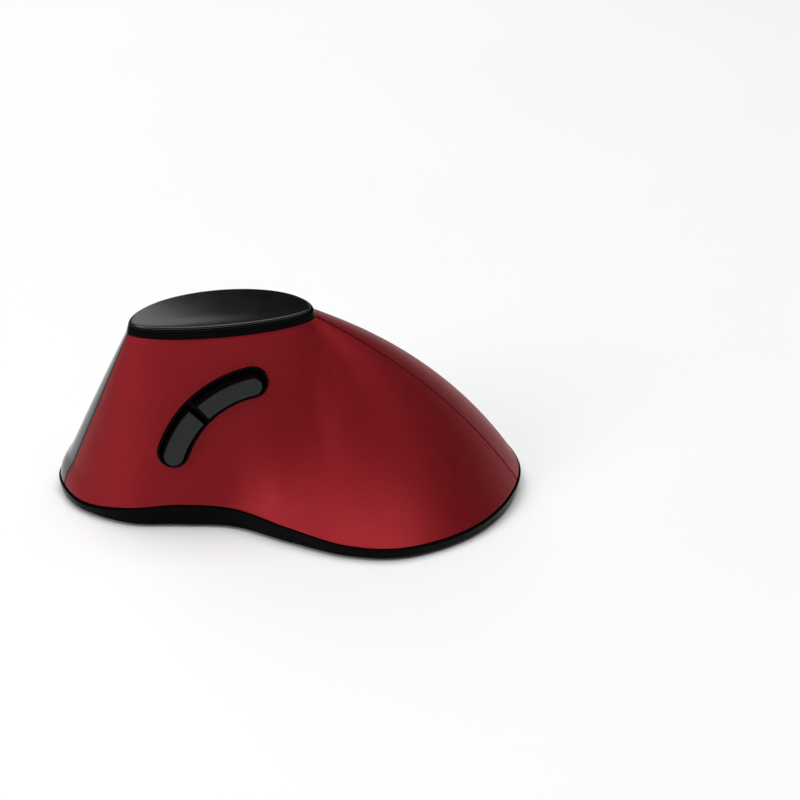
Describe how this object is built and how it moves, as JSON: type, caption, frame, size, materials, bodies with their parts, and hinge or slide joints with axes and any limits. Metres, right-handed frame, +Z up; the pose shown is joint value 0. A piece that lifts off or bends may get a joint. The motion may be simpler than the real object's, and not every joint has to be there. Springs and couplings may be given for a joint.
{
  "type": "vertical ergonomic mouse",
  "caption": "Right-hand vertical computer mouse with a sloped thumb side, curved side buttons, scroll wheel and main keys on the finger side, an oval cap and a black base rim.",
  "frame": {"origin": "on the desk below the centre of the bounding box", "axes": "+Y from tail to nose, -X is the thumb side, +X the finger side, +Z up"},
  "size_m": [0.0745, 0.1212, 0.0539],
  "materials": {
    "shell_red": "satin metallic red plastic",
    "gloss_black": "gloss black plastic",
    "key_black": "satin black plastic",
    "button_grey": "satin dark grey plastic",
    "wheel_rubber": "ribbed rubber",
    "hub_grey": "grey plastic",
    "frame_plastic": "dark moulded plastic",
    "steel": "bright steel",
    "board_green": "circuit board",
    "switch_black": "switch housing",
    "plunger": "switch plunger",
    "lens_clear": "clear optical plastic",
    "ribbon": "flat flexible cable",
    "cell": "wrapped dry cell",
    "contact": "plated spring contact",
    "receiver": "black plastic and plated plug",
    "feet": "low-friction pad"
  },
  "bodies": {
    "housing": {"base_tray": "gloss_black", "thumb_shell": "shell_red", "palm_shell": "shell_red", "front_fascia": "gloss_black", "cap_ring": "gloss_black", "cap_lens": "gloss_black", "hinge_rod": "steel", "key_chassis": "frame_plastic", "wheel_spine": "gloss_black", "wheel_switch": "switch_black", "dpi_switch": "switch_black", "left_switch": "switch_black", "right_switch": "switch_black", "key_board": "board_green", "side_bezel": "gloss_black", "forward_switch": "switch_black", "back_switch": "switch_black", "side_board": "board_green", "main_board": "board_green", "sensor_chip": "switch_black", "sensor_lens": "lens_clear", "power_switch": "switch_black", "key_ribbon": "ribbon", "side_ribbon": "ribbon", "left_cell": "cell", "right_cell": "cell", "bridge_contact": "contact", "end_contacts": "contact", "glide_feet": "feet", "case_screws": "steel", "board_screws": "steel"},
    "left_key": {"left_key": "key_black", "left_plunger": "plunger"},
    "right_key": {"right_key": "key_black", "right_plunger": "plunger"},
    "wheel_mount": {"wheel_carrier": "frame_plastic", "wheel_encoder": "switch_black", "wheel_stem": "plunger"},
    "wheel": {"wheel_tyre": "wheel_rubber", "wheel_hub": "hub_grey", "wheel_axle": "steel"},
    "dpi_button": {"dpi_button": "button_grey", "dpi_stem": "plunger"},
    "forward_button": {"forward_button": "button_grey", "forward_stem": "plunger"},
    "back_button": {"back_button": "button_grey", "back_stem": "plunger"},
    "power_slider": {"power_slider": "button_grey"},
    "battery_door": {"battery_door": "frame_plastic"},
    "usb_receiver": {"usb_receiver": "receiver"}
  },
  "joints": [
    {"name": "left_click", "type": "hinge", "parent": "housing", "child": "left_key", "pos_m": [0.01707, 0.0097, 0.02877], "axis": [-0.4185, -0.1066, 0.9019], "range_deg": [0, 1.1], "stiffness_Nm_per_rad": 1.5, "springref_deg": -0.29},
    {"name": "right_click", "type": "hinge", "parent": "housing", "child": "right_key", "pos_m": [0.01707, 0.0097, 0.02877], "axis": [-0.4185, -0.1066, 0.9019], "range_deg": [0, 1.1], "stiffness_Nm_per_rad": 1.5, "springref_deg": -0.29},
    {"name": "wheel_click", "type": "slide", "parent": "housing", "child": "wheel_mount", "axis": [-0.8412, -0.3288, -0.4292], "range_m": [0, 0.0005], "stiffness_N_per_m": 2500, "springref_m": -0.0002},
    {"name": "wheel_spin", "type": "hinge", "parent": "wheel_mount", "child": "wheel", "pos_m": [0.01275, 0.02892, 0.02904], "axis": [-0.4185, -0.1066, 0.9019], "continuous": true},
    {"name": "dpi_press", "type": "slide", "parent": "housing", "child": "dpi_button", "axis": [-0.8412, -0.3288, -0.4292], "range_m": [0, 0.0005], "stiffness_N_per_m": 1500, "springref_m": -0.0002},
    {"name": "forward_press", "type": "slide", "parent": "housing", "child": "forward_button", "axis": [0.972, 0.0715, -0.2236], "range_m": [0, 0.0005], "stiffness_N_per_m": 1500, "springref_m": -0.0002},
    {"name": "back_press", "type": "slide", "parent": "housing", "child": "back_button", "axis": [0.972, 0.0715, -0.2236], "range_m": [0, 0.0005], "stiffness_N_per_m": 1500, "springref_m": -0.0002},
    {"name": "power_slide", "type": "slide", "parent": "housing", "child": "power_slider", "axis": [0, 1, 0], "range_m": [0, 0.003]},
    {"name": "door_release", "type": "slide", "parent": "housing", "child": "battery_door", "axis": [0, 0, -1], "range_m": [0, 0.012]},
    {"name": "receiver_pull", "type": "slide", "parent": "housing", "child": "usb_receiver", "axis": [0, 0, -1], "range_m": [0, 0.016]}
  ]
}
